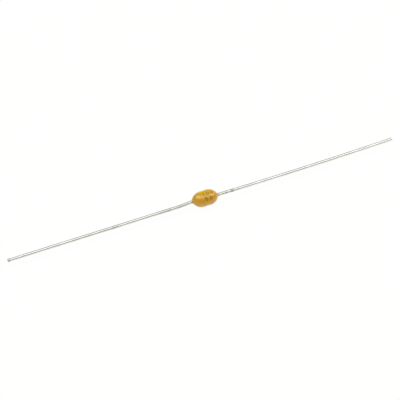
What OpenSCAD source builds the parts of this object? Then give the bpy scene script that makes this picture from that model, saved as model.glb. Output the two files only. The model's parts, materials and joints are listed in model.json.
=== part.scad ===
// Axial-leaded multilayer ceramic capacitor, conformally coated, millimetres.
// +X runs along the leads, +Z is up, and the origin lies under the middle of the
// body, on the surface that the coating rests on.

/* [Ceramic chip] */
// Length of the fired chip, between its two end faces
chip_l = 2; // [1.6:0.05:3]
// Width of the chip
chip_w = 1.25; // [1:0.05:1.6]
// Thickness of the chip
chip_t = 1; // [0.8:0.05:1.3]
// Radius of the chip's tumbled long edges
chip_edge_r = 0.1; // [0.05:0.01:0.15]

/* [Electrodes] */
// Electrodes that start from each end of the chip
electrodes_per_end = 10; // [4:1:12]
// Thickness of one electrode
electrode_t = 0.01; // [0.006:0.001:0.014]
// Plain ceramic above and below the stack
cover_t = 0.13; // [0.1:0.01:0.2]
// Plain ceramic along both sides of the stack
side_margin = 0.2; // [0.12:0.01:0.3]
// Ceramic between an electrode's free edge and the far end face
end_margin = 0.25; // [0.15:0.01:0.35]

/* [Terminations] */
// How far the metal cap wraps back along the chip
termination_band = 0.4; // [0.25:0.05:0.6]
// Thickness of the metal cap
termination_t = 0.05; // [0.03:0.01:0.08]

/* [Leads] */
// Diameter of the tinned wire
lead_d = 0.51; // [0.4:0.01:0.6]
// Free length of one lead, from the coating to the cut tip
lead_l = 29.7; // [20:0.1:38]
// Diameter of the nail head that is soldered to the chip
head_d = 0.85; // [0.75:0.01:0.95]
// Thickness of the nail head
head_t = 0.2; // [0.12:0.01:0.3]
// How much thicker than the wire the upset neck is where it leaves the nail head
neck_flare = 0.13; // [0.1:0.01:0.2]
// Burr-free bevel at the cut tip
tip_bevel = 0.04; // [0.02:0.01:0.08]

/* [Solder] */
// Solder between the nail head and the termination
solder_t = 0.06; // [0.03:0.01:0.1]
// How far the solder cone spreads beyond the rim of the nail head
solder_spread = 0.11; // [0.05:0.01:0.15]
// How far the solder cone climbs up the rim of the nail head
solder_climb = 0.08; // [0.04:0.01:0.1]
// Edge of the termination's face that stays clear of solder, at least
solder_margin = 0.01; // [0:0.005:0.03]

/* [Coating] */
// Coating over the terminations, on each side
coat_side = 0.55; // [0.4:0.005:0.7]
// Coating over the terminations, above and below
coat_over = 0.62; // [0.4:0.005:0.7]
// Coating beyond the nail head, to the tip of the dome
coat_end = 0.72; // [0.55:0.005:0.9]
// Length of the middle stretch between the domes
middle_l = 1; // [0.6:0.05:1.4]
// How far the coating draws in halfway, over the bare part of the chip
waist = 0.01; // [0:0.005:0.05]
// How far the coating's middle sits above the leads
coat_lift = 0.12; // [0:0.01:0.16]
// Superellipse exponent of the middle section: 2 is an ellipse, more is squarer
squareness = 2.15; // [2:0.05:2.8]
// Thickness of the meniscus where it ends on the lead
meniscus_edge = 0.02; // [0.01:0.005:0.04]
// How far the meniscus climbs above that edge before it turns into the dome
meniscus_rise = 0.045; // [0.02:0.005:0.2]

/* [Hidden] */
$fn = 64;

section_sides = 40;    // flats around the coating, one of them underneath
waist_steps = 3;       // rings along each half of the waist
dome_steps = 9;        // rings along each dome
meniscus_steps = 5;    // rings along each meniscus
past_face = 0.05;      // how far a cut runs past the face that it opens

body_w = chip_w + 2 * (termination_t + coat_side);
body_h = chip_t + 2 * (termination_t + coat_over);
axis_z = body_h / 2 - coat_lift;

solder_x = chip_l / 2 + termination_t;
head_x = solder_x + solder_t;
neck_x = head_x + head_t;
neck_d = lead_d + neck_flare;
face_r = min(chip_w, chip_t) / 2 + termination_t;
solder_foot_r = min(head_d / 2 + solder_spread, face_r - solder_margin);
dome_tip_x = neck_x + coat_end;

electrode_count = 2 * electrodes_per_end;
electrode_pitch = (chip_t - 2 * cover_t - electrode_t) / (electrode_count - 1);

// The dome is an ellipse of mean radius body_r, and the meniscus is an arc that
// leaves it tangentially and ends along the lead.
body_r = (body_w + body_h) / 4;
oval = (body_w - body_h) / (body_w + body_h);
dome_l = dome_tip_x - middle_l / 2;
meniscus_end_r = lead_d / 2 + meniscus_edge;
join_angle = acos((meniscus_end_r + meniscus_rise) / body_r);
join_x = middle_l / 2 + dome_l * sin(join_angle);
join_slope = atan2(body_r * sin(join_angle), dome_l * cos(join_angle));
meniscus_r = meniscus_rise / (1 - cos(join_slope));
coat_x = join_x + meniscus_r * sin(join_slope);
tip_x = coat_x + lead_l;

// How fast the neck's radius shrinks on its way out of the coating
neck_taper = neck_flare / 2 / (coat_x - neck_x);

// A station is [x, mean radius, fullness]. Fullness is 1 in the middle and 0 at
// the lead, and carries the oval, the squareness and the lift of the section.
function waist_station(t) =
    [middle_l / 2 * t, body_r - waist * (1 + cos(180 * t)) / 2, 1];

function dome_station(side, t) =
    let (angle = join_angle * t)
    [side * (middle_l / 2 + dome_l * sin(angle)), body_r * cos(angle), cos(angle)];

function meniscus_station(side, t) =
    let (slope = join_slope * (1 - t))
    [
        side * (join_x + meniscus_r * (sin(join_slope) - sin(slope))),
        meniscus_end_r + meniscus_r * (1 - cos(slope)),
        cos(join_angle) * (1 - t)
    ];

function end_stations(side) = concat(
    [for (i = [0 : dome_steps]) dome_station(side, i / dome_steps)],
    [for (i = [1 : meniscus_steps]) meniscus_station(side, i / meniscus_steps)]
);

function reversed(list) = [for (i = [len(list) - 1 : -1 : 0]) list[i]];

function coating_stations() = concat(
    reversed(end_stations(-1)),
    [for (i = [1 - waist_steps : waist_steps - 1]) waist_station(i / waist_steps)],
    end_stations(1)
);

function signed_power(base, exponent) = sign(base) * pow(abs(base), exponent);

// One ring of points: a superellipse whose flats lie on the stated width and height
function section_ring(station) =
    let (
        full = station[2],
        exponent = 2 / (2 + (squareness - 2) * full),
        flat = cos(180 / section_sides)
    )
    [for (i = [0 : section_sides - 1])
        let (angle = (i + 0.5) * 360 / section_sides)
        [
            station[0],
            station[1] * (1 + oval * full) * signed_power(cos(angle) / flat, exponent),
            station[1] * (1 - oval * full) * signed_power(sin(angle) / flat, exponent)
                + coat_lift * full
        ]
    ];

// Solid lofted through closed rings of points that are listed along +X
module loft(rings) {
    sides = len(rings[0]);
    last = len(rings) - 1;
    walls = [
        for (i = [0 : last - 1], j = [0 : sides - 1])
        let (a = i * sides, b = a + sides, k = (j + 1) % sides)
        [a + j, b + j, b + k, a + k]
    ];
    near_cap = [for (j = [0 : sides - 1]) j];
    far_cap = [for (j = [sides - 1 : -1 : 0]) last * sides + j];
    polyhedron(
        points = [for (ring = rings) each ring],
        faces = concat([near_cap], walls, [far_cap]),
        convexity = 4
    );
}

// Bar along X with rounded long edges, from x0 over a length
module rounded_bar(x0, length, width, height, edge_r) {
    translate([x0, 0, 0]) rotate([90, 0, 90]) linear_extrude(length) {
        square([width - 2 * edge_r, height], center = true);
        square([width, height - 2 * edge_r], center = true);
        for (y = [-1, 1], z = [-1, 1])
            translate([y * (width / 2 - edge_r), z * (height / 2 - edge_r)])
                circle(edge_r);
    }
}

// Turned shape about the X axis, from points of [x, radius]
module turned(points) {
    rotate([0, 90, 0]) rotate_extrude()
        polygon([for (p = points) [p[1], p[0]]]);
}

// Height of the lead axis above the surface that the body rests on
module at_axis() {
    translate([0, 0, axis_z]) children();
}

// The right-hand pieces are drawn as they are, the left-hand ones mirrored
module on_side(side) {
    if (side == "left") mirror([1, 0, 0]) children();
    else children();
}

module chip_block() {
    rounded_bar(-chip_l / 2, chip_l, chip_w, chip_t, chip_edge_r);
}

module termination_block() {
    rounded_bar(
        chip_l / 2 - termination_band, termination_band + termination_t,
        chip_w + 2 * termination_t, chip_t + 2 * termination_t,
        chip_edge_r + termination_t
    );
}

// Plates that start at the right-hand end face, every second one in the stack, and
// stand out of that face by the stated length where they cut their slots
module electrode_stack(first, stand_out = 0) {
    for (i = [first : 2 : electrode_count - 1])
        translate([
            end_margin - chip_l / 2,
            side_margin - chip_w / 2,
            i * electrode_pitch + cover_t - chip_t / 2
        ])
            cube([
                chip_l - end_margin + stand_out,
                chip_w - 2 * side_margin,
                electrode_t
            ]);
}

// Nail-headed wire, with the neck tapering down to the wire inside the coating
module lead_wire() {
    turned([
        [head_x, 0],
        [head_x, head_d / 2],
        [neck_x, head_d / 2],
        [neck_x, neck_d / 2],
        [coat_x, lead_d / 2],
        [tip_x - tip_bevel, lead_d / 2],
        [tip_x, lead_d / 2 - tip_bevel],
        [tip_x, 0]
    ]);
}

// Solder cone under the nail head and up its rim
module solder_cone() {
    turned([
        [solder_x, 0],
        [solder_x, solder_foot_r],
        [head_x + solder_climb, head_d / 2],
        [head_x, head_d / 2],
        [head_x, 0]
    ]);
}

// Room in the coating for the solder, nail head and neck: it starts inside the
// termination, and its taper runs on through the meniscus's end face
module joint_seat() {
    turned([
        [chip_l / 2, 0],
        [chip_l / 2, head_d / 2],
        [solder_x, solder_foot_r],
        [head_x + solder_climb, head_d / 2],
        [neck_x, head_d / 2],
        [neck_x, neck_d / 2],
        [coat_x + past_face, lead_d / 2 - past_face * neck_taper],
        [coat_x + past_face, 0]
    ]);
}

module coating_form() {
    loft([for (station = coating_stations()) section_ring(station)]);
}

// Dipped bead, hollow where the chip, terminations, solder and leads sit in it
module epoxy_coating() {
    color("goldenrod") at_axis() difference() {
        coating_form();
        chip_block();
        for (side = ["left", "right"]) on_side(side) {
            termination_block();
            joint_seat();
        }
    }
}

module ceramic_chip() {
    color("wheat") at_axis() difference() {
        chip_block();
        on_side("left") electrode_stack(0, past_face);
        on_side("right") electrode_stack(1, past_face);
    }
}

module electrodes(side) {
    color("gray") at_axis() on_side(side) electrode_stack(side == "left" ? 0 : 1);
}

module termination(side) {
    color("silver") at_axis() on_side(side) difference() {
        termination_block();
        chip_block();
    }
}

module solder(side) {
    color("lightsteelblue") at_axis() on_side(side) solder_cone();
}

module lead(side) {
    color("gainsboro") at_axis() on_side(side) lead_wire();
}

epoxy_coating();
ceramic_chip();
electrodes("left");  // left_electrodes
electrodes("right");  // right_electrodes
termination("left");  // left_termination
termination("right");  // right_termination
solder("left");  // left_solder
solder("right");  // right_solder
lead("left");  // left_lead
lead("right");  // right_lead
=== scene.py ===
import json
import math

import bpy
import numpy as np
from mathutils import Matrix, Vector


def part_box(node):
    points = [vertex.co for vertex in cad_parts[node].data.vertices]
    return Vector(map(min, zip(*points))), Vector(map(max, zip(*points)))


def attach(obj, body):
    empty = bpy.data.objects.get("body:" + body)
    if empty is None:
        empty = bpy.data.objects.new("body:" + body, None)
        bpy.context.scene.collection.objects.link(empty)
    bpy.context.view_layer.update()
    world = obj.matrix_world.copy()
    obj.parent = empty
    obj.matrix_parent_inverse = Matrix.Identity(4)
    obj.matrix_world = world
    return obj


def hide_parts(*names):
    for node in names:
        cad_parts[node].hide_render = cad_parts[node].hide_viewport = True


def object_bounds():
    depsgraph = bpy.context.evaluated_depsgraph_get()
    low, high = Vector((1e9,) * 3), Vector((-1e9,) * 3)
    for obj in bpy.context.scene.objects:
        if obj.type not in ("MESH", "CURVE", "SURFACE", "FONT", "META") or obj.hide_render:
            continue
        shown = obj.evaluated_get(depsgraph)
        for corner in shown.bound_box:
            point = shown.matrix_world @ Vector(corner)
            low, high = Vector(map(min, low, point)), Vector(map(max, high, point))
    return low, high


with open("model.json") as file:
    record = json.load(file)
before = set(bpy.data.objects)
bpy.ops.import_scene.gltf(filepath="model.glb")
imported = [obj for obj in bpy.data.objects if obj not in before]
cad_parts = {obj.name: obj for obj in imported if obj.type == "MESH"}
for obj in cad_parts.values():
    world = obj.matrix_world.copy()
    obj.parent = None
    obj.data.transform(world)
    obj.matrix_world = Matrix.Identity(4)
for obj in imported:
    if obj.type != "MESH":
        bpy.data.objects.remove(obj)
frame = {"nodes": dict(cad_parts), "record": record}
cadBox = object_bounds()
mm = 0.001
scene = bpy.context.scene
print("frame loaded:", len(frame["nodes"]), "nodes")


# Puts a new object into the scene.
def addObject(name, data):
    made = bpy.data.objects.new(name, data)
    scene.collection.objects.link(made)
    return made


# Camera: looks down at the part from the front left
camera = {
    "azimuth": -22.92,  # degrees round the part, 0 looks along +Y
    "elevation": 48.0,  # degrees above the floor
    "distance": 335.5 * mm,
    "aim": (-0.8 * mm, -0.02 * mm, 1.135 * mm),
    "lens": 199.05,  # in millimetres, as is the sensor
    "sensor": 36.0,
    "clip": (0.01, 10.0),  # nearest and farthest in metres
}


# Direction from the part at an azimuth and elevation in degrees.
def awayFromPart(azimuth, elevation):
    around, above = math.radians(azimuth), math.radians(elevation)
    level = math.cos(above)
    return Vector((math.sin(around) * level, -math.cos(around) * level, math.sin(above)))


def makeCamera():
    back = awayFromPart(camera["azimuth"], camera["elevation"])
    data = bpy.data.cameras.new("camera")
    data.lens = camera["lens"]
    data.sensor_width = camera["sensor"]
    data.clip_start, data.clip_end = camera["clip"]
    made = addObject("camera", data)
    made.location = Vector(camera["aim"]) + back * camera["distance"]
    made.rotation_mode = "QUATERNION"
    made.rotation_quaternion = (-back).to_track_quat("-Z", "Y")
    scene.camera = made


makeCamera()
scene.view_settings.view_transform = "Standard"
print("camera placed")


# Sizes that the frame gives
pins = {mount["name"]: mount for mount in frame["record"]["mounts"]}
wireRadius = pins["right_lead_pin"]["dims"]["r_mm"] * mm
axisHeight = pins["right_lead_pin"]["pos_m"][2]
coatLow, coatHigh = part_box("epoxy_coating")
chipLow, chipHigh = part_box("ceramic_chip")
capLow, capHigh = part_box("right_termination")
jointLow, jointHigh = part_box("right_solder")
leadLow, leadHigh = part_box("right_lead")
beadWidth = coatHigh.y - coatLow.y
beadHeight = coatHigh.z - coatLow.z
beadEnd = coatHigh.x  # where the coat's edge meets the wire
beadRise = (coatHigh.z + coatLow.z) / 2 - axisHeight  # the bead's middle above the wire's axis


# The faces of a grid of points: quads between neighbouring rows and columns. Its columns close into rings.
# Its rows either close too, or end in one flat face each.
def gridFaces(index, closedRows):
    here = index if closedRows else index[:-1]
    ahead = np.roll(index, -1, axis=0) if closedRows else index[1:]
    corners = [here, np.roll(here, -1, axis=1), np.roll(ahead, -1, axis=1), ahead]
    faces = np.stack(corners, axis=-1).reshape(-1, 4).tolist()
    if not closedRows:
        faces += [index[0][::-1].tolist(), index[-1].tolist()]
    return faces


sharpAngle = 35.0  # degrees between two faces past which their edge stays sharp


# One object from one or more grids of points.
def gridPiece(name, *grids, closedRows=False):
    counts = [grid.shape[0] * grid.shape[1] for grid in grids]
    starts = np.cumsum([0] + counts)
    faces = []
    for grid, count, start in zip(grids, counts, starts):
        faces += gridFaces(start + np.arange(count).reshape(grid.shape[:2]), closedRows)
    mesh = bpy.data.meshes.new(name)
    mesh.from_pydata(np.concatenate([grid.reshape(-1, 3) for grid in grids]).tolist(), [], faces)
    mesh.shade_smooth()
    mesh.set_sharp_from_angle(angle=math.radians(sharpAngle))
    return addObject(name, mesh)


# Joins a piece to the part: it rides on the body, takes its material and stands for the solids that it
# replaces.
def seatPiece(piece, slotName, material, *nodes):
    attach(piece, "root")
    if nodes:
        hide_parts(*nodes)
    piece.data.materials.append(material)


# An sRGB colour from 0 to 255 as the linear values that sockets take, by the standard's own curve.
def paint(red, green, blue):
    share = np.array([red, green, blue]) / 255
    linear = np.where(share <= 0.04045, share / 12.92, ((share + 0.055) / 1.055) ** 2.4)
    return (*linear.tolist(), 1.0)


def grey(tone):
    return (tone, tone, tone, 1.0)


# Sets a node's inputs, each to a fixed value or to another node's output.
def setInputs(tree, node, inputs):
    for name, value in inputs.items():
        if isinstance(value, bpy.types.NodeSocket):
            tree.links.new(value, node.inputs[name])
        else:
            node.inputs[name].default_value = value


def addNode(tree, kind, inputs=None, **settings):
    made = tree.nodes.new(kind)
    for name, value in settings.items():
        setattr(made, name, value)
    setInputs(tree, made, inputs or {})
    return made


def blendColour(tree, share, first, second):
    # the colour sockets of a Mix node are its seventh and eighth inputs and its third output
    made = addNode(tree, "ShaderNodeMix", {0: share, 6: first, 7: second}, data_type="RGBA")
    return made.outputs[2]


# A value carried from one range to another and held at its ends
def stretch(tree, value, low, high, toLow=0.0, toHigh=1.0):
    inputs = {"Value": value, "From Min": low, "From Max": high, "To Min": toLow, "To Max": toHigh}
    return addNode(tree, "ShaderNodeMapRange", inputs).outputs["Result"]


# A mask whose 0 and 1 become two other values
def spread(tree, mask, atNone, atFull):
    return stretch(tree, mask, 0.0, 1.0, atNone, atFull)


def calculate(tree, operation, first, second=0.0):
    return addNode(tree, "ShaderNodeMath", {0: first, 1: second}, operation=operation).outputs[0]


# A place's own X, Y and Z
def splitPlace(tree, place):
    return addNode(tree, "ShaderNodeSeparateXYZ", {"Vector": place}).outputs


# Patterns that several materials share: what their inputs start at, and how they are cut
patterns = {
    "clouds": {"Scale": 1500.0, "Detail": 3.0},
    "cloudMiddle": (0.32, 0.68),  # noise that becomes 0 and 1
    "specks": {"Scale": 9000.0, "Size": 0.2, "Share": 0.3},
    "speckFade": 0.6,  # share of a speck's radius over which it fades out
    "lines": {"Across": 20000.0, "Along": 250.0},
    "lineMiddle": (0.3, 0.7),
    "lineDetail": 2.0,
}


# Starts a node group that turns one Vector and some named values into one Mask.
def startGroup(name, inputs):
    group = bpy.data.node_groups.new(name, "ShaderNodeTree")
    group.interface.new_socket("Vector", in_out="INPUT", socket_type="NodeSocketVector")
    for label, value in inputs.items():
        socket = group.interface.new_socket(label, in_out="INPUT", socket_type="NodeSocketFloat")
        socket.default_value = value
    group.interface.new_socket("Mask", in_out="OUTPUT", socket_type="NodeSocketFloat")
    return group, group.nodes.new("NodeGroupInput").outputs, group.nodes.new("NodeGroupOutput")


# Soft clouds: layered noise with its middle stretched to run from 0 to 1.
def makeClouds():
    group, given, result = startGroup("soft_clouds", patterns["clouds"])
    inputs = {name: given[name] for name in ("Vector", "Scale", "Detail")}
    noise = addNode(group, "ShaderNodeTexNoise", inputs)
    mask = stretch(group, noise.outputs["Fac"], *patterns["cloudMiddle"])
    setInputs(group, result, {"Mask": mask})
    return group


# Fine specks: a small round spot in some of the cells of a cell pattern.
def makeSpecks():
    group, given, result = startGroup("fine_specks", patterns["specks"])
    inputs = {name: given[name] for name in ("Vector", "Scale")}
    cells = addNode(group, "ShaderNodeTexVoronoi", inputs)
    spot = calculate(group, "SUBTRACT", given["Size"], cells.outputs["Distance"])
    spot = calculate(group, "DIVIDE", spot, given["Size"])
    pick = addNode(group, "ShaderNodeSeparateColor", {"Color": cells.outputs["Color"]}).outputs["Red"]
    chosen = calculate(group, "LESS_THAN", pick, given["Share"])
    mask = calculate(group, "MULTIPLY", stretch(group, spot, 0.0, patterns["speckFade"]), chosen)
    setInputs(group, result, {"Mask": mask})
    return group


# Drawn lines: noise pulled out along X, as drawing or wiping leaves on metal.
def makeDrawnLines():
    group, given, result = startGroup("drawn_lines", patterns["lines"])
    scales = {"X": given["Along"], "Y": given["Across"], "Z": given["Across"]}
    scale = addNode(group, "ShaderNodeCombineXYZ", scales).outputs["Vector"]
    drawn = addNode(group, "ShaderNodeVectorMath", {0: given["Vector"], 1: scale}, operation="MULTIPLY")
    inputs = {"Vector": drawn.outputs["Vector"], "Scale": 1.0, "Detail": patterns["lineDetail"]}
    noise = addNode(group, "ShaderNodeTexNoise", inputs)
    mask = stretch(group, noise.outputs["Fac"], *patterns["lineMiddle"])
    setInputs(group, result, {"Mask": mask})
    return group


softClouds = makeClouds()
fineSpecks = makeSpecks()
drawnLines = makeDrawnLines()


def placeGroup(tree, group, place, values):
    made = addNode(tree, "ShaderNodeGroup", {"Vector": place, **values}, node_tree=group)
    return made.outputs["Mask"]


# A material with its Principled shader and the piece's own coordinates, in metres.
def startMaterial(name):
    material = bpy.data.materials.new(name)
    material.use_nodes = True
    tree = material.node_tree
    shader = tree.nodes["Principled BSDF"]
    place = tree.nodes.new("ShaderNodeTexCoord").outputs["Object"]
    return material, tree, shader, place


def addBump(tree, height, distance):
    return addNode(tree, "ShaderNodeBump", {"Height": height, "Distance": distance}).outputs["Normal"]


# Epoxy: glossy ochre resin that runs out onto the wires as a clear film, through which the metal shows, with
# a painted shade belt on its lower front
epoxy = {
    "deep": paint(199, 154, 4),
    "light": paint(208, 173, 9),
    "clouds": {"Scale": 1400.0, "Detail": 2.0},  # mix those two
    "warm": paint(208, 136, 10),
    "shadeBeltTop": (2.19 * mm, 1.99 * mm),  # painted shade: heights between which the coat is painted warmer and darker downwards
    "shadeBeltFoot": (0.89 * mm, 1.34 * mm),  # and turns back near its foot
    "shadeBeltEnds": (1.75 * mm, 1.15 * mm),  # and towards the bead's ends
    "shadeBeltShare": 0.55,
    "hues": {"Scale": 700.0, "Detail": 1.0},  # large warm patches
    "hueFrom": 0.5,  # cloud above which a patch starts
    "hueShare": 0.4,
    "ends": paint(192, 146, 4),
    "endsDeepen": (1.2 * mm, 1.9 * mm, 0.5),  # distances between which the coat deepens, and how much
    "specks": {"Scale": 11000.0, "Size": 0.2, "Share": 0.12},
    "speckTone": paint(150, 100, 14),
    "speckShare": 0.35,
    "films": [  # places between which the resin thins out to a film, and the film's colour
        (-2.02 * mm, -2.2 * mm, paint(190, 183, 168)),
        (2.0 * mm, 2.22 * mm, paint(196, 190, 178)),
    ],
    "clearShare": 0.92,
    "roughness": (0.06, 0.13),
    "filmRoughness": 0.3,  # more of it on the film
    "refraction": 1.52,
    "gloss": 0.4,  # clear top layer, none on the film
    "glossRoughness": 0.05,
    "grain": {"Scale": 16000.0, "Detail": 2.0},
    "grainShare": 0.6,  # of the relief, where a speck is a pit of depth 1
    "relief": 0.0006 * mm,  # depth of the bump
}


def epoxyMaterial():
    material, tree, shader, place = startMaterial("ochre_epoxy")
    axes = splitPlace(tree, place)
    along, height = axes["X"], axes["Z"]
    reach = calculate(tree, "ABSOLUTE", along)
    clouds = placeGroup(tree, softClouds, place, epoxy["clouds"])
    hues = placeGroup(tree, softClouds, place, epoxy["hues"])
    specks = placeGroup(tree, fineSpecks, place, epoxy["specks"])
    grain = placeGroup(tree, softClouds, place, epoxy["grain"])
    colour = blendColour(tree, clouds, epoxy["deep"], epoxy["light"])
    # Painted shade: a warmer, darker belt over the lower front of the bead, which fades near its foot and
    # its ends; the warm patches are the coat's own
    paintedShadeBelt = stretch(tree, height, *epoxy["shadeBeltTop"], 0.0, epoxy["shadeBeltShare"])
    paintedShadeBelt = calculate(tree, "MULTIPLY", paintedShadeBelt, stretch(tree, height, *epoxy["shadeBeltFoot"]))
    paintedShadeBelt = calculate(tree, "MULTIPLY", paintedShadeBelt, stretch(tree, reach, *epoxy["shadeBeltEnds"]))
    patches = stretch(tree, hues, epoxy["hueFrom"], 1.0, 0.0, epoxy["hueShare"])
    colour = blendColour(tree, calculate(tree, "MAXIMUM", paintedShadeBelt, patches), colour, epoxy["warm"])
    endsFrom, endsFull, endsShare = epoxy["endsDeepen"]
    deepened = stretch(tree, reach, endsFrom, endsFull, 0.0, endsShare)
    colour = blendColour(tree, deepened, colour, epoxy["ends"])
    colour = blendColour(tree, spread(tree, specks, 0.0, epoxy["speckShare"]), colour, epoxy["speckTone"])
    clear = 0.0
    for filmFrom, filmFull, tone in epoxy["films"]:
        share = stretch(tree, along, filmFrom, filmFull, 0.0, epoxy["clearShare"])
        colour = blendColour(tree, share, colour, tone)
        clear = calculate(tree, "MAXIMUM", share, clear)
    rough = spread(tree, clouds, *epoxy["roughness"])
    rough = calculate(tree, "ADD", rough, spread(tree, clear, 0.0, epoxy["filmRoughness"]))
    skin = calculate(tree, "SUBTRACT", spread(tree, grain, 0.0, epoxy["grainShare"]), specks)
    setInputs(tree, shader, {
        "Base Color": colour,
        "Metallic": clear,
        "Roughness": rough,
        "IOR": epoxy["refraction"],
        "Coat Weight": spread(tree, clear, epoxy["gloss"], 0.0),
        "Coat Roughness": epoxy["glossRoughness"],
        "Normal": addBump(tree, skin, epoxy["relief"]),
    })
    return material


# Marking ink: brown, worn thin in patches, with a painted sheen that lightens it towards the top
ink = {
    "dark": paint(126, 82, 2),
    "worn": paint(180, 126, 14),
    "wear": {"Scale": 5200.0, "Detail": 4.0},
    "wearFrom": 0.35,  # cloud above which the ink is thinner
    "wearShare": 0.8,
    "paintedSheen": (2.05 * mm, 2.25 * mm, 0.75),  # heights between which it is painted lighter upwards, a painted reflection of the overhead light, and how much
    "dots": {"Scale": 26000.0, "Size": 0.4, "Share": 0.4},
    "dotShare": 0.5,
    "roughness": (0.3, 0.5),
    "specular": 0.3,
    "relief": 0.001 * mm,
}


def inkMaterial():
    material, tree, shader, place = startMaterial("brown_ink")
    height = splitPlace(tree, place)["Z"]
    wear = placeGroup(tree, softClouds, place, ink["wear"])
    dots = placeGroup(tree, fineSpecks, place, ink["dots"])
    patches = stretch(tree, wear, ink["wearFrom"], 1.0, 0.0, ink["wearShare"])
    # Painted sheen: towards the top the ink turns to its worn tone, in place of the overhead light's
    # reflection
    sheenLow, sheenHigh, sheenShare = ink["paintedSheen"]
    paintedSheen = stretch(tree, height, sheenLow, sheenHigh, 0.0, sheenShare)
    colour = blendColour(tree, calculate(tree, "MAXIMUM", patches, paintedSheen), ink["dark"], ink["worn"])
    colour = blendColour(tree, spread(tree, dots, 0.0, ink["dotShare"]), colour, ink["worn"])
    setInputs(tree, shader, {
        "Base Color": colour,
        "Roughness": spread(tree, wear, *ink["roughness"]),
        "Specular IOR Level": ink["specular"],
        "Normal": addBump(tree, dots, ink["relief"]),
    })
    return material


# Tinned wire: satin tin with drawn lines, dull patches and a few smudges, and painted shade and painted
# reflection of the bead near its roots
wireFinish = {
    "bright": paint(236, 235, 230),
    "dull": paint(210, 208, 202),
    "patches": {"Scale": 620.0, "Detail": 5.0},
    "patchFrom": 0.3,  # cloud above which the tin is dull
    "dullShare": (0.8, 0.45),  # at the left and the right tip
    "lines": {"Across": 26000.0, "Along": 300.0},
    "lineShare": 0.25,  # how dull the gaps between drawn lines are
    "smudgesAndBeadReflections": [  # middle and half length along the wire, strength and colour
        (-31.6 * mm, 0.34 * mm, 0.5, paint(156, 154, 148)),
        (-14.7 * mm, 0.7 * mm, 0.3, paint(160, 158, 150)),
        (-6.5 * mm, 1.9 * mm, 0.3, paint(168, 165, 154)),
        # from here to the list's end: painted shade and painted reflection of the bead on the wires near its
        # roots, darker or tinted yellow-green
        (-3.6 * mm, 1.3 * mm, 0.35, paint(176, 172, 160)),
        (-2.5 * mm, 0.3 * mm, 0.25, paint(200, 205, 172)),
        (-2.1 * mm, 0.25 * mm, 0.7, paint(150, 146, 128)),
        (2.95 * mm, 0.28 * mm, 0.65, paint(208, 212, 172)),
        (3.5 * mm, 0.3 * mm, 0.5, paint(168, 166, 156)),
        (4.42 * mm, 0.4 * mm, 0.6, paint(150, 147, 132)),
    ],
    "spotCore": 0.4,  # share of a spot's half length at full strength
    "nicks": {"Scale": 6000.0, "Size": 0.16, "Share": 0.12},
    "stain": paint(164, 160, 138),
    "nickShare": 0.4,
    "nickDepth": 2.0,  # in heights of a drawn line
    "roughness": (0.16, 0.3),
    "roughestAt": 1.7,  # sum of tarnish and lines
    "relief": 0.0009 * mm,
}


def wireMaterial():
    material, tree, shader, place = startMaterial("tinned_wire")
    along = splitPlace(tree, place)["X"]
    lines = placeGroup(tree, drawnLines, place, wireFinish["lines"])
    patches = placeGroup(tree, softClouds, place, wireFinish["patches"])
    nicks = placeGroup(tree, fineSpecks, place, wireFinish["nicks"])
    dullShare = stretch(tree, along, -leadHigh.x, leadHigh.x, *wireFinish["dullShare"])
    tarnish = calculate(tree, "MULTIPLY", stretch(tree, patches, wireFinish["patchFrom"], 1.0), dullShare)
    colour = blendColour(tree, tarnish, wireFinish["bright"], wireFinish["dull"])
    gaps = spread(tree, lines, wireFinish["lineShare"], 0.0)
    colour = blendColour(tree, gaps, colour, wireFinish["dull"])
    # smudges far out on the wire, and painted shade and painted reflection of the bead near its roots
    for middle, halfLength, strength, tone in wireFinish["smudgesAndBeadReflections"]:
        away = calculate(tree, "ABSOLUTE", calculate(tree, "SUBTRACT", along, middle))
        spotMask = stretch(tree, away, halfLength, wireFinish["spotCore"] * halfLength, 0.0, strength)
        colour = blendColour(tree, spotMask, colour, tone)
    stained = spread(tree, nicks, 0.0, wireFinish["nickShare"])
    colour = blendColour(tree, stained, colour, wireFinish["stain"])
    worn = calculate(tree, "ADD", tarnish, lines)
    height = calculate(tree, "SUBTRACT", lines, spread(tree, nicks, 0.0, wireFinish["nickDepth"]))
    setInputs(tree, shader, {
        "Base Color": colour,
        "Roughness": stretch(tree, worn, 0.0, wireFinish["roughestAt"], *wireFinish["roughness"]),
        "Metallic": 1.0,
        "Normal": addBump(tree, height, wireFinish["relief"]),
    })
    return material


# Fired ceramic: matt tan body with a fine grain and faint layers
ceramic = {
    "pale": paint(196, 176, 148),
    "dark": paint(164, 140, 108),
    "grain": {"Scale": 14000.0, "Detail": 5.0},
    "grainShare": (0.1, 0.9),
    "layer": 0.038 * mm,  # height of one layer
    "layerShare": 0.2,
    "pores": {"Scale": 16000.0, "Size": 0.18, "Share": 0.3},
    "poreShare": 0.6,
    "roughness": (0.62, 0.8),
    "relief": 0.0016 * mm,
}


def ceramicMaterial():
    material, tree, shader, place = startMaterial("fired_ceramic")
    height = splitPlace(tree, place)["Z"]
    grain = placeGroup(tree, softClouds, place, ceramic["grain"])
    pores = placeGroup(tree, fineSpecks, place, ceramic["pores"])
    turn = calculate(tree, "MULTIPLY", height, 2 * math.pi / ceramic["layer"])
    layers = stretch(tree, calculate(tree, "SINE", turn), -1.0, 1.0, 0.0, ceramic["layerShare"])
    colour = blendColour(tree, spread(tree, grain, *ceramic["grainShare"]), ceramic["pale"], ceramic["dark"])
    colour = blendColour(tree, layers, colour, ceramic["dark"])
    colour = blendColour(tree, spread(tree, pores, 0.0, ceramic["poreShare"]), colour, ceramic["dark"])
    setInputs(tree, shader, {
        "Base Color": colour,
        "Roughness": spread(tree, grain, *ceramic["roughness"]),
        "Normal": addBump(tree, calculate(tree, "SUBTRACT", grain, pores), ceramic["relief"]),
    })
    return material


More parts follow.
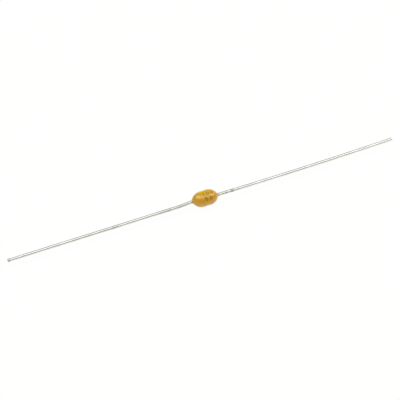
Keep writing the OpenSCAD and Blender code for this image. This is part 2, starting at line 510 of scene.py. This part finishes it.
# Metal of the inner pieces: the same satin grain in different tones
innerMetal = {
    "finishes": {  # light and dark tone, roughness and scale of the grain
        "electrode_film": (paint(176, 172, 164), paint(140, 136, 128), (0.42, 0.6), 22000.0),
        "plated_cap": (paint(224, 221, 214), paint(190, 186, 178), (0.3, 0.5), 15000.0),
        "satin_solder": (paint(212, 212, 210), paint(166, 166, 166), (0.2, 0.42), 9000.0),
    },
    "grain": {"Detail": 4.0},
    "pits": {"Size": 0.2, "Share": 0.25},
    "pitShare": 0.6,
    "relief": 0.001 * mm,
}


def innerMetalMaterial(name):
    light, dark, roughness, scale = innerMetal["finishes"][name]
    material, tree, shader, place = startMaterial(name)
    grain = placeGroup(tree, softClouds, place, {"Scale": scale, **innerMetal["grain"]})
    pits = placeGroup(tree, fineSpecks, place, {"Scale": scale, **innerMetal["pits"]})
    colour = blendColour(tree, grain, light, dark)
    colour = blendColour(tree, spread(tree, pits, 0.0, innerMetal["pitShare"]), colour, dark)
    setInputs(tree, shader, {
        "Base Color": colour,
        "Roughness": spread(tree, grain, *roughness),
        "Metallic": 1.0,
        "Normal": addBump(tree, calculate(tree, "SUBTRACT", grain, pits), innerMetal["relief"]),
    })
    return material


ochreEpoxy = epoxyMaterial()
brownInk = inkMaterial()
tinnedWire = wireMaterial()
print("materials made")


# Drift of the wires from the straight axis
drift = {
    "skew": (0.112 * mm, 0.112 * mm),  # how far back and up the left wire leaves the bead
    "skewFrom": 0.9 * mm,  # where the bead starts to follow it
    "skewLength": 3.2 * mm,  # along which the wire comes back to the axis
    "bow": (-0.4 * mm, 0.6 * mm),  # of the right wire, by the first and second power of the way out
}


# The wires' middle off the axis, in Y and Z, at a place along them: the left end's skew grows with the
# square of the way to the bead's end and fades outside with the square of the way that remains, and the
# right wire bows by a parabola of the way from the bead to its tip.
def wireDrift(x):
    grown = np.clip((-x - drift["skewFrom"]) / (beadEnd - drift["skewFrom"]), 0, 1) ** 2
    remaining = np.clip(1 - (-x - beadEnd) / drift["skewLength"], 0, 1) ** 2
    way = np.clip((x - beadEnd) / (leadHigh.x - beadEnd), 0, 1)
    bow = drift["bow"][0] * way + drift["bow"][1] * way ** 2
    return drift["skew"][0] * grown * remaining + bow, drift["skew"][1] * grown * remaining


# Bead: the dipped coat, lofted along the wire
bead = {
    "middle": 1.0 * mm,  # nearly straight stretch between the two domes
    "domeTip": 2.03 * mm,  # where a dome would end if no wire came out of it
    "waist": 0.01 * mm,  # how far the middle is drawn in
    "squareness": 2.15,  # 2 is an ellipse, more is squarer
    "meniscusEdge": 0.02 * mm,  # thickness left where the meniscus ends
    "meniscusRise": 0.045 * mm,  # how far it climbs before it turns into the dome
    "filmLength": (0.34 * mm, 0.42 * mm),  # thin resin past the left and right meniscus
    "filmTaper": 0.6,  # share of its thickness that a film loses steadily
    "filmLip": 4,  # power by which the rest goes at its edge
    "filmWaves": [  # of that edge: turns round the wire, share of the length and start
        (1, 0.3, 0.8),
        (2, 0.2, 2.4),
        (5, 0.05, 0.0),
    ],
    "fillets": [  # more resin at the roots: middle along the wire, half length and height
        (-2.1 * mm, 0.26 * mm, 0.05 * mm),
        (1.98 * mm, 0.2 * mm, 0.045 * mm),
    ],
    "shift": 0.035 * mm,  # the dip isn't quite centred on the leads
    "lumps": 0.009 * mm,  # slow unevenness of the dip
    "lumpWaves": [  # radians per millimetre along the bead, turns round it and start
        (1.3, 1, 0.4),
        (2.1, 2, 1.9),
        (0.8, 3, 4.1),
        (2.9, 1, 2.7),
        (1.7, 2, 5.3),
    ],
    "peel": 0.0022 * mm,  # fine ripple of the cured skin
    "ripples": 40,
    "ripplePull": (9, 22),  # radians per millimetre, least and most
    "rippleRadius": 1.1,  # of the round on which the ripples are taken, in millimetres
    "rippleSeed": 11,
    "around": 224,
    "waistRows": 20,
    "domeRows": 70,
    "meniscusRows": 22,
    "filmRows": 10,
}
beadRadius = (beadWidth + beadHeight) / 4
beadOval = (beadWidth - beadHeight) / (beadWidth + beadHeight)
domeLength = bead["domeTip"] - bead["middle"] / 2
edgeRadius = wireRadius + bead["meniscusEdge"]
joinAngle = math.acos((edgeRadius + bead["meniscusRise"]) / beadRadius)
joinX = bead["middle"] / 2 + domeLength * math.sin(joinAngle)
joinSlope = math.atan2(beadRadius * math.sin(joinAngle), domeLength * math.cos(joinAngle))
meniscusRadius = bead["meniscusRise"] / (1 - math.cos(joinSlope))


# Half of the bead's outline as three rows, the distance along the wire, the mean radius and the fullness: a
# cosine for the waist, a quarter of an ellipse for the dome, then a circular arc that turns it along the
# wire.
def beadOutline():
    across = np.linspace(0, 1, bead["waistRows"], endpoint=False)
    waistRadius = beadRadius - bead["waist"] * (1 + np.cos(np.pi * across)) / 2
    waist = np.array([bead["middle"] / 2 * across, waistRadius, np.ones_like(across)])
    turn = np.linspace(0, joinAngle, bead["domeRows"], endpoint=False)
    domeX = bead["middle"] / 2 + domeLength * np.sin(turn)
    dome = np.array([domeX, beadRadius * np.cos(turn), np.cos(turn)])
    share = np.linspace(0, 1, bead["meniscusRows"])
    slope = joinSlope * (1 - share)
    meniscusX = joinX + meniscusRadius * (math.sin(joinSlope) - np.sin(slope))
    meniscusR = edgeRadius + meniscusRadius * (1 - np.cos(slope))
    meniscus = np.array([meniscusX, meniscusR, math.cos(joinAngle) * (1 - share)])
    return np.hstack([waist, dome, meniscus])


outline = beadOutline()


# Signed power: keeps the sign of the base.
def signedPower(base, power):
    return np.sign(base) * np.abs(base) ** power


# Unevenness of the dip: a few slow waves along and round the bead, plus fine ripples that are plane waves of
# many directions added together. Its value is a height.
def dipHeight(x, angle):
    waves = bead["lumpWaves"]
    slow = sum(np.cos(pull * x / mm + turns * angle + start) for pull, turns, start in waves)
    count = bead["ripples"]
    draw = np.random.default_rng(bead["rippleSeed"])
    steps = draw.normal(size=(count, 3))
    steps *= (draw.uniform(*bead["ripplePull"], count) / np.linalg.norm(steps, axis=1))[:, None]
    starts = draw.uniform(0, 2 * np.pi, count)
    y, z = bead["rippleRadius"] * np.cos(angle), bead["rippleRadius"] * np.sin(angle)
    fine = sum(np.cos(s[0] * x / mm + s[1] * y + s[2] * z + start) for s, start in zip(steps, starts))
    return bead["lumps"] * slow / len(waves) + bead["peel"] * fine / math.sqrt(count)


# More resin at the roots: a cosine bell along the wire at each.
def rootFillet(x):
    bells = 0
    for middle, halfLength, height in bead["fillets"]:
        away = np.clip(np.abs(x - middle) / halfLength, 0, 1)
        bells = bells + height * (1 + np.cos(np.pi * away)) / 2
    return bells


# Bead surface: a squared ellipse round the wire at each distance along it. Fullness 1 gives the whole
# ovalness, squareness and rise, and 0 a circle centred on the wire.
def beadPoint(x, angle, radius, fullness):
    driftY, driftZ = wireDrift(x + bead["shift"])
    radius = radius + dipHeight(x, angle) * fullness
    power = 2 / (2 + (bead["squareness"] - 2) * fullness)
    y = driftY + radius * (1 + beadOval * fullness) * signedPower(np.cos(angle), power)
    z = driftZ + radius * (1 - beadOval * fullness) * signedPower(np.sin(angle), power)
    z = np.maximum(z + beadRise * fullness + axisHeight, coatLow.z)
    return np.stack(np.broadcast_arrays(x + bead["shift"], y, z), axis=-1)


# Bead surface at any place before the meniscus ends, with radius and fullness read off the outline.
def beadSkin(x, angle):
    radius = np.interp(np.abs(x), outline[0], outline[1])
    fullness = np.interp(np.abs(x), outline[0], outline[2])
    return beadPoint(x, angle, radius, fullness)


# Rounded rectangle round the wire's axis, as the distance from the axis at each angle: a flat side where the
# ray meets one, and otherwise the corner's circle. With half sizes equal to the corner it is a circle.
def roundedDistance(angle, halfWidth, halfHeight, corner):
    least = 1e-9  # keeps what is divided by above zero
    across = np.maximum(np.abs(np.cos(angle)), least)
    up = np.maximum(np.abs(np.sin(angle)), least)
    cornerY = halfWidth - corner
    cornerZ = halfHeight - corner
    reach = across * cornerY + up * cornerZ
    room = np.maximum(reach ** 2 - cornerY ** 2 - cornerZ ** 2 + corner ** 2, 0)
    distance = reach + np.sqrt(room)
    distance = np.where(halfWidth / across * up <= cornerZ, halfWidth / across, distance)
    return np.where(halfHeight / up * across <= cornerY, halfHeight / up, distance)


# Inside: sizes of the hollow and of the leads' heads that no box gives
inside = {
    "headThickness": 0.2 * mm,
    "neckRadius": 0.32 * mm,  # of the flare behind a head
    "capCorner": 0.15 * mm,
    "chipCorner": 0.1 * mm,
}
headX = leadLow.x
headRadius = (leadHigh.z - leadLow.z) / 2
neckX = headX + inside["headThickness"]


# Half the width and half the height of a box
def halfSizes(low, high):
    return (high.y - low.y) / 2, (high.z - low.z) / 2


# The hollow that the chip and the leads' heads fill, as one half's sections from the wire inwards: distance
# along the wire, half width, half height and corner radius.
def hollowSections():
    footRadius = (jointHigh.z - jointLow.z) / 2
    cap = (*halfSizes(capLow, capHigh), inside["capCorner"])
    chip = (*halfSizes(chipLow, chipHigh), inside["chipCorner"])
    rounds = [
        (beadEnd - bead["shift"], wireRadius),
        (neckX, inside["neckRadius"]),
        (neckX, headRadius),
        (jointHigh.x, headRadius),
        (jointLow.x, footRadius),
    ]
    sections = [(x, radius, radius, radius) for x, radius in rounds]
    return sections + [(jointLow.x, *cap), (capLow.x, *cap), (capLow.x, *chip)]


# The whole coat: the skin from the left film's edge to the right one's, then the hollow back to the left,
# closed into one loop of sections. A film keeps the wire's round and thins out to an uneven edge.
def makeBead():
    angle = np.linspace(0, 2 * np.pi, bead["around"], endpoint=False)[None, :]
    mirrored = outline[:, :0:-1] * np.array([[-1], [1], [1]])
    x, radius, fullness = np.hstack([mirrored, outline])[:, :, None]
    skin = beadPoint(x, angle, radius + rootFillet(x), fullness)
    share = np.linspace(0, 1, bead["filmRows"] + 1)[1:, None]
    thickness = bead["meniscusEdge"] * (1 - share ** bead["filmLip"]) * (1 - bead["filmTaper"] * share)
    edge = 1 + sum(size * np.cos(turns * angle + start) for turns, size, start in bead["filmWaves"])
    films = []
    for side, length in zip((-1, 1), bead["filmLength"]):
        filmX = side * (beadEnd + length * edge * share)
        filmRadius = wireRadius + thickness + rootFillet(filmX) * (1 - share)
        films.append(beadPoint(filmX, angle, filmRadius, 0.0))
    hollowX, halfWidth, halfHeight, corner = np.array(hollowSections()).T[:, :, None]
    distance = roundedDistance(angle, halfWidth, halfHeight, corner)
    hollowY, hollowZ = distance * np.cos(angle), distance * np.sin(angle) + axisHeight
    driftY, driftZ = wireDrift(-hollowX)
    right = np.stack(np.broadcast_arrays(hollowX, hollowY, hollowZ), axis=-1)
    left = np.stack(np.broadcast_arrays(-hollowX, hollowY + driftY, hollowZ + driftZ), axis=-1)
    rows = [films[0][::-1], skin, films[1], right, left[::-1]]
    return gridPiece("bead", np.concatenate(rows), closedRows=True)


coat = makeBead()
seatPiece(coat, "epoxy", ochreEpoxy, "epoxy_coating")
print("bead made:", len(coat.data.polygons), "faces")


# Leads: a nail head, a short flare and a long, nearly straight wire cut off at the tip
lead = {
    "headBevel": 0.03 * mm,
    "headMiddle": 0.05,  # the head's innermost ring, as a share of its radius
    "waver": 0.0012 * mm,  # slow change of the wire's radius
    "waverPull": (2.3, 0.71),  # radians per millimetre of the two waves in it
    "waverStart": 1.0,  # of the second
    "tipBevel": 0.035 * mm,
    "cutTilt": 5.0,  # degrees that the cut leans
    "cutTurn": 2.2,  # radians round the wire to its shortest side
    "cutReach": 4,  # bevels along which the wire leans with the cut
    "cutRings": (0.6, 0.3, 0.06),  # rings on the cut, as shares of the wire's radius
    "around": 72,
    "wireRows": 260,
    "roundRows": 6,
}


# The rounded edge of a bar's end: a quarter circle from the bar's side to its end face, which looks along
# plus or minus X.
def roundEdge(endX, radius, bevel, facing=1):
    turn = np.linspace(0, np.pi / 2, lead["roundRows"])
    return np.array([endX - facing * bevel * (1 - np.sin(turn)), radius - bevel * (1 - np.cos(turn))])


# The lead's profile from the head's middle to the tip's, as distance along the wire and radius: quarter
# circles round the head's and the tip's edges, straight in between, with a slow waver along the wire that is
# the product of two sines.
def leadProfile():
    middle = np.array([[headX], [headRadius * lead["headMiddle"]]])
    front = roundEdge(headX, headRadius, lead["headBevel"], -1)[:, ::-1]
    back = roundEdge(neckX, headRadius, lead["headBevel"])
    neck = np.array([[neckX], [inside["neckRadius"]]])
    x = np.linspace(beadEnd, leadHigh.x - lead["tipBevel"], lead["wireRows"])
    quick, slow = lead["waverPull"]
    waver = np.sin(quick * x / mm) * np.sin(slow * x / mm + lead["waverStart"])
    wire = np.array([x, wireRadius + lead["waver"] * waver])
    tip = roundEdge(leadHigh.x, wireRadius, lead["tipBevel"])[:, 1:]
    rings = wireRadius * np.array(lead["cutRings"])
    cut = np.array([np.full_like(rings, leadHigh.x), rings])
    return np.hstack([middle, front, back, neck, wire, tip, cut])


# The profile turned round the wire's axis. Near the tip the turned surface leans with the cut, and it never
# passes the lead's end. The whole follows the wire's drift.
def makeLead(name, side):
    x, radius = leadProfile()[:, :, None]
    angle = np.linspace(0, 2 * np.pi, lead["around"], endpoint=False)[None, :]
    lean = math.tan(math.radians(lead["cutTilt"]))
    nearTip = np.clip((x - leadHigh.x) / lead["tipBevel"] / lead["cutReach"] + 1, 0, 1)
    x = x - lean * (wireRadius + radius * np.cos(angle - lead["cutTurn"])) * nearTip
    driftY, driftZ = wireDrift(side * x)
    y = radius * np.cos(angle) + driftY
    z = radius * np.sin(angle) + axisHeight + driftZ
    grid = np.stack(np.broadcast_arrays(side * x, y, z), axis=-1)
    return gridPiece(name, grid if side > 0 else grid[::-1])


for sideName, side in (("left_lead", -1), ("right_lead", 1)):
    piece = makeLead(sideName.replace("lead", "wire"), side)
    seatPiece(piece, "tinned_wire", tinnedWire, sideName)
print("leads made")


# Marking: two rows of plain digits in raised ink
marking = {
    "rows": [  # digits, middle along the wire, angle round the wire in degrees, pitch
        ("104", 0.3 * mm, 99.0, 0.62 * mm),
        ("50", 0.26 * mm, 137.0, 0.76 * mm),
    ],
    "height": 0.6 * mm,
    "boxMiddle": (0.3, 0.5),  # of the box that each digit is drawn in, which is 1 high
    "halfWidth": 0.062 * mm,  # of a stroke
    "endWidth": 0.04,  # share of it left at a stroke's ends
    "bleed": 0.13,  # share by which a stroke's width varies
    "bleedPull": ((61, 83), (-37, 29)),  # radians per millimetre along and up, of the two waves in it
    "inkHeight": 0.006 * mm,
    "inkDepth": 0.012 * mm,
    "inkSink": 0.001 * mm,
    "pathRows": 28,
    "capRows": 5,
    "around": 14,
}


# Straight stroke: equal steps between two points.
def inkLine(start, end):
    return np.linspace(start, end, marking["pathRows"])


# Round stroke: the middle plus two radii times the cosine and sine of an angle that turns from one value to
# another.
def inkArc(middle, radii, fromDegrees, toDegrees):
    turn = np.radians(np.linspace(fromDegrees, toDegrees, 2 * marking["pathRows"]))
    return np.array(middle) + np.array(radii) * np.stack([np.cos(turn), np.sin(turn)], axis=-1)


# Each digit's strokes, in its box
digitStrokes = {
    "0": [
        inkArc((0.3, 0.5), (0.26, 0.46), 90, 450),
    ],
    "1": [
        inkLine((0.34, 0.04), (0.34, 0.96)),
        inkLine((0.34, 0.96), (0.14, 0.78)),
    ],
    "4": [
        inkLine((0.44, 0.04), (0.44, 0.96)),
        inkLine((0.44, 0.96), (0.06, 0.3)),
        inkLine((0.06, 0.3), (0.58, 0.3)),
    ],
    "5": [
        inkLine((0.52, 0.96), (0.12, 0.96)),
        inkLine((0.12, 0.96), (0.1, 0.52)),
        inkArc((0.28, 0.34), (0.26, 0.3), 135, -130),
    ],
}


# A stroke's path with a round cap at each end, as points, the direction ahead and the share of the full
# width: past an end the path goes on by the sine of a quarter turn while the width falls with its cosine.
def cappedPath(path):
    step = np.gradient(path, axis=0)
    ahead = step / np.linalg.norm(step, axis=1)[:, None]
    turn = np.linspace(0, np.pi / 2, marking["capRows"] + 1)[1:]
    push = np.concatenate([-np.sin(turn)[::-1], np.zeros(len(path)), np.sin(turn)]) * marking["halfWidth"]
    width = np.concatenate([np.cos(turn)[::-1], np.ones(len(path)), np.cos(turn)]).clip(marking["endWidth"])
    source = np.arange(-len(turn), len(path) + len(turn)).clip(0, len(path) - 1)
    return path[source] + ahead[source] * push[:, None], ahead[source], width


# A stroke on the bead: a lens-shaped section carried along the capped path. The path is measured in the
# digit's box, laid along the wire and round the bead, and lifted along the bead's normal.
def strokeGrid(path, middleX, middleAngle):
    path, ahead, width = cappedPath(path * marking["height"])
    side = np.stack([-ahead[:, 1], ahead[:, 0]], axis=-1)
    first, second = np.array(marking["bleedPull"])
    bleed = 1 + marking["bleed"] * np.sin(path @ first / mm) * np.sin(path @ second / mm)
    section = np.linspace(0, 2 * np.pi, marking["around"], endpoint=False)
    across = np.cos(section)[None, :] * (width * bleed * marking["halfWidth"])[:, None]
    rise = np.where(np.sin(section) > 0, marking["inkHeight"], marking["inkDepth"]) * np.sin(section)
    flat = path[:, None, :] + side[:, None, :] * across[:, :, None]
    x = middleX + flat[..., 0]
    angle = middleAngle - flat[..., 1] / beadRadius
    tiny = 1e-4  # step to the neighbours that give the normal, in radians and millimetres
    point = beadSkin(x, angle)
    normal = np.cross(beadSkin(x, angle + tiny) - point, beadSkin(x + tiny * mm, angle) - point)
    normal /= np.linalg.norm(normal, axis=-1)[..., None]
    return point + normal * (rise[None, :] * np.sqrt(width)[:, None] - marking["inkSink"])[..., None]


# Each row of digits is one piece.
def makeMarking():
    for row, (digits, middle, degrees, pitch) in enumerate(marking["rows"]):
        grids = []
        for place, digit in enumerate(digits):
            x = middle + (place - (len(digits) - 1) / 2) * pitch
            paths = [path - np.array(marking["boxMiddle"]) for path in digitStrokes[digit]]
            grids += [strokeGrid(path, x, math.radians(degrees)) for path in paths]
        seatPiece(gridPiece(f"marking_row_{row + 1}", *grids), "epoxy", brownInk)


makeMarking()
print("marking made")


# Inner pieces keep their solids and get their finishes
innerFinish = {
    "ceramic_chip": ceramicMaterial(),
    "electrodes": innerMetalMaterial("electrode_film"),
    "termination": innerMetalMaterial("plated_cap"),
    "solder": innerMetalMaterial("satin_solder"),
}
for nodeName, node in frame["nodes"].items():
    for ending, material in innerFinish.items():
        if nodeName.endswith(ending):
            node.data.materials.clear()
            node.data.materials.append(material)
print("inner pieces finished")


# Stage: a white floor, soft lamps and cards for the gloss
stage = {
    "floorSize": 3.0,
    "floorDrop": 0.002 * mm,  # gap left under the part
    "floorWhite": 0.96,  # share of the floor's white that doesn't take shadow
    "floorShade": 0.04,  # share that does
    "floorBounce": 0.95,  # how pale it is to the light that it throws back
    "world": 0.42,  # light from all round
    "coolWhite": (1.0, 0.98, 0.94),
    "warmWhite": (1.0, 0.88, 0.67),
    "lamps": {  # direction to it, width and depth, distance in metres, brightness, colour, if gloss shows it
        "overhead": ((0.05, 0.28, 0.96), (1.1, 0.6), 0.75, 0.73, "coolWhite", False),
        "front": ((0.05, -0.95, 0.25), (0.8, 0.5), 0.8, 0.79, "coolWhite", False),
        "left": ((-0.41, 0.37, 0.81), (0.4, 0.4), 0.6, 2.5, "warmWhite", True),
        "right": ((0.75, 0.12, 0.65), (0.38, 0.38), 0.6, 2.8, "warmWhite", True),
    },
    "cardDistance": 1.0,
    "cards": {  # degrees turned from the camera, up and tilted, width and height in metres, and tone
        "front_card": (0.0, 31.0, 10.0, (2.4, 1.02), 0.27),
        "strip_card": (0.0, 91.0, -6.0, (2.4, 0.31), 2.45),
        "back_card": (190.0, 40.0, 0.0, (3.6, 1.56), 0.45),
        "left_card": (-67.1, 15.0, 0.0, (1.8, 1.2), 0.4),
        "right_card": (112.9, 4.0, 0.0, (1.8, 0.9), 0.4),
    },
}


# One flat sheet of the stage, by its four corners, with an empty material that isn't sampled as a lamp.
def stageSheet(name, corners, materialName):
    mesh = bpy.data.meshes.new(name)
    mesh.from_pydata(corners.tolist(), [], [(0, 1, 2, 3)])
    sheet = addObject(name, mesh)
    material = bpy.data.materials.new(materialName)
    material.use_nodes = True
    material.cycles.emission_sampling = "NONE"
    material.node_tree.nodes.remove(material.node_tree.nodes["Principled BSDF"])
    mesh.materials.append(material)
    return sheet


# One where a ray comes straight from the camera or by a mirror or clear piece, else zero
def seenDirectly(tree):
    path = addNode(tree, "ShaderNodeLightPath")
    direct = calculate(tree, "MAXIMUM", path.outputs["Is Camera Ray"], path.outputs["Is Glossy Ray"])
    return calculate(tree, "MAXIMUM", direct, path.outputs["Is Transmission Ray"])


# A level square under the part: nearly white by itself with a faint shadow where it is seen directly, a pale
# matt surface to other light, and clear from below.
def makeFloor():
    half = stage["floorSize"] / 2
    level = cadBox[0].z - stage["floorDrop"]
    flat = np.array([(-half, -half), (half, -half), (half, half), (-half, half)])
    corners = np.column_stack([flat, np.full(len(flat), level)])
    tree = stageSheet("floor", corners, "white_floor").active_material.node_tree
    glow = addNode(tree, "ShaderNodeEmission", {"Strength": stage["floorWhite"]})
    shade = addNode(tree, "ShaderNodeBsdfDiffuse", {"Color": grey(stage["floorShade"])})
    bounce = addNode(tree, "ShaderNodeBsdfDiffuse", {"Color": grey(stage["floorBounce"])})
    shown = addNode(tree, "ShaderNodeAddShader", {0: glow.outputs[0], 1: shade.outputs[0]})
    inputs = {0: seenDirectly(tree), 1: bounce.outputs[0], 2: shown.outputs[0]}
    above = addNode(tree, "ShaderNodeMixShader", inputs)
    clear = addNode(tree, "ShaderNodeBsdfTransparent")
    fromBelow = addNode(tree, "ShaderNodeNewGeometry").outputs["Backfacing"]
    inputs = {0: fromBelow, 1: above.outputs[0], 2: clear.outputs[0]}
    whole = addNode(tree, "ShaderNodeMixShader", inputs)
    setInputs(tree, tree.nodes["Material Output"], {"Surface": whole.outputs[0]})


# White where it is seen directly, and dimmer as a light
def makeWorld():
    world = bpy.data.worlds.new("studio")
    scene.world = world
    world.use_nodes = True
    tree = world.node_tree
    tree.nodes.remove(tree.nodes["Background"])
    strength = spread(tree, seenDirectly(tree), stage["world"], 1.0)
    light = addNode(tree, "ShaderNodeBackground", {"Color": grey(1.0), "Strength": strength})
    setInputs(tree, tree.nodes["World Output"], {"Surface": light.outputs[0]})


# Cards that only reflections see: the unlit front, back and ends of a studio, and a light strip overhead.
# Each faces the part from its direction, and its tilt turns it in its own plane.
def makeCards():
    for name, (turn, up, tilt, size, tone) in stage["cards"].items():
        toward = np.array(awayFromPart(camera["azimuth"] + turn, up))
        level = np.array(awayFromPart(camera["azimuth"] + turn + 90, 0.0))
        steep = np.cross(toward, level)
        lean = math.radians(tilt)
        along = level * math.cos(lean) - steep * math.sin(lean)
        rise = steep * math.cos(lean) + level * math.sin(lean)
        flat = np.array([(-1, -1), (-1, 1), (1, 1), (1, -1)]) * np.array(size) / 2
        corners = toward * stage["cardDistance"] + flat @ np.array([along, rise])
        card = stageSheet(name, corners, name)
        card.visible_camera = False
        card.visible_diffuse = False
        card.visible_shadow = False
        tree = card.active_material.node_tree
        glow = addNode(tree, "ShaderNodeEmission", {"Strength": tone})
        setInputs(tree, tree.nodes["Material Output"], {"Surface": glow.outputs[0]})


# A lamp's power is its radiance times pi times its area.
def makeLamps():
    for name, (direction, size, distance, radiance, colour, inGloss) in stage["lamps"].items():
        toward = Vector(direction).normalized()
        data = bpy.data.lights.new(name, "AREA")
        data.shape = "RECTANGLE"
        data.size, data.size_y = size
        data.energy = radiance * math.pi * data.size * data.size_y
        data.color = stage[colour]
        made = addObject(name, data)
        made.visible_glossy = inGloss
        made.location = toward * distance
        made.rotation_euler = toward.to_track_quat("Z", "Y").to_euler()


makeFloor()
makeWorld()
makeCards()
makeLamps()
print("stage lit")
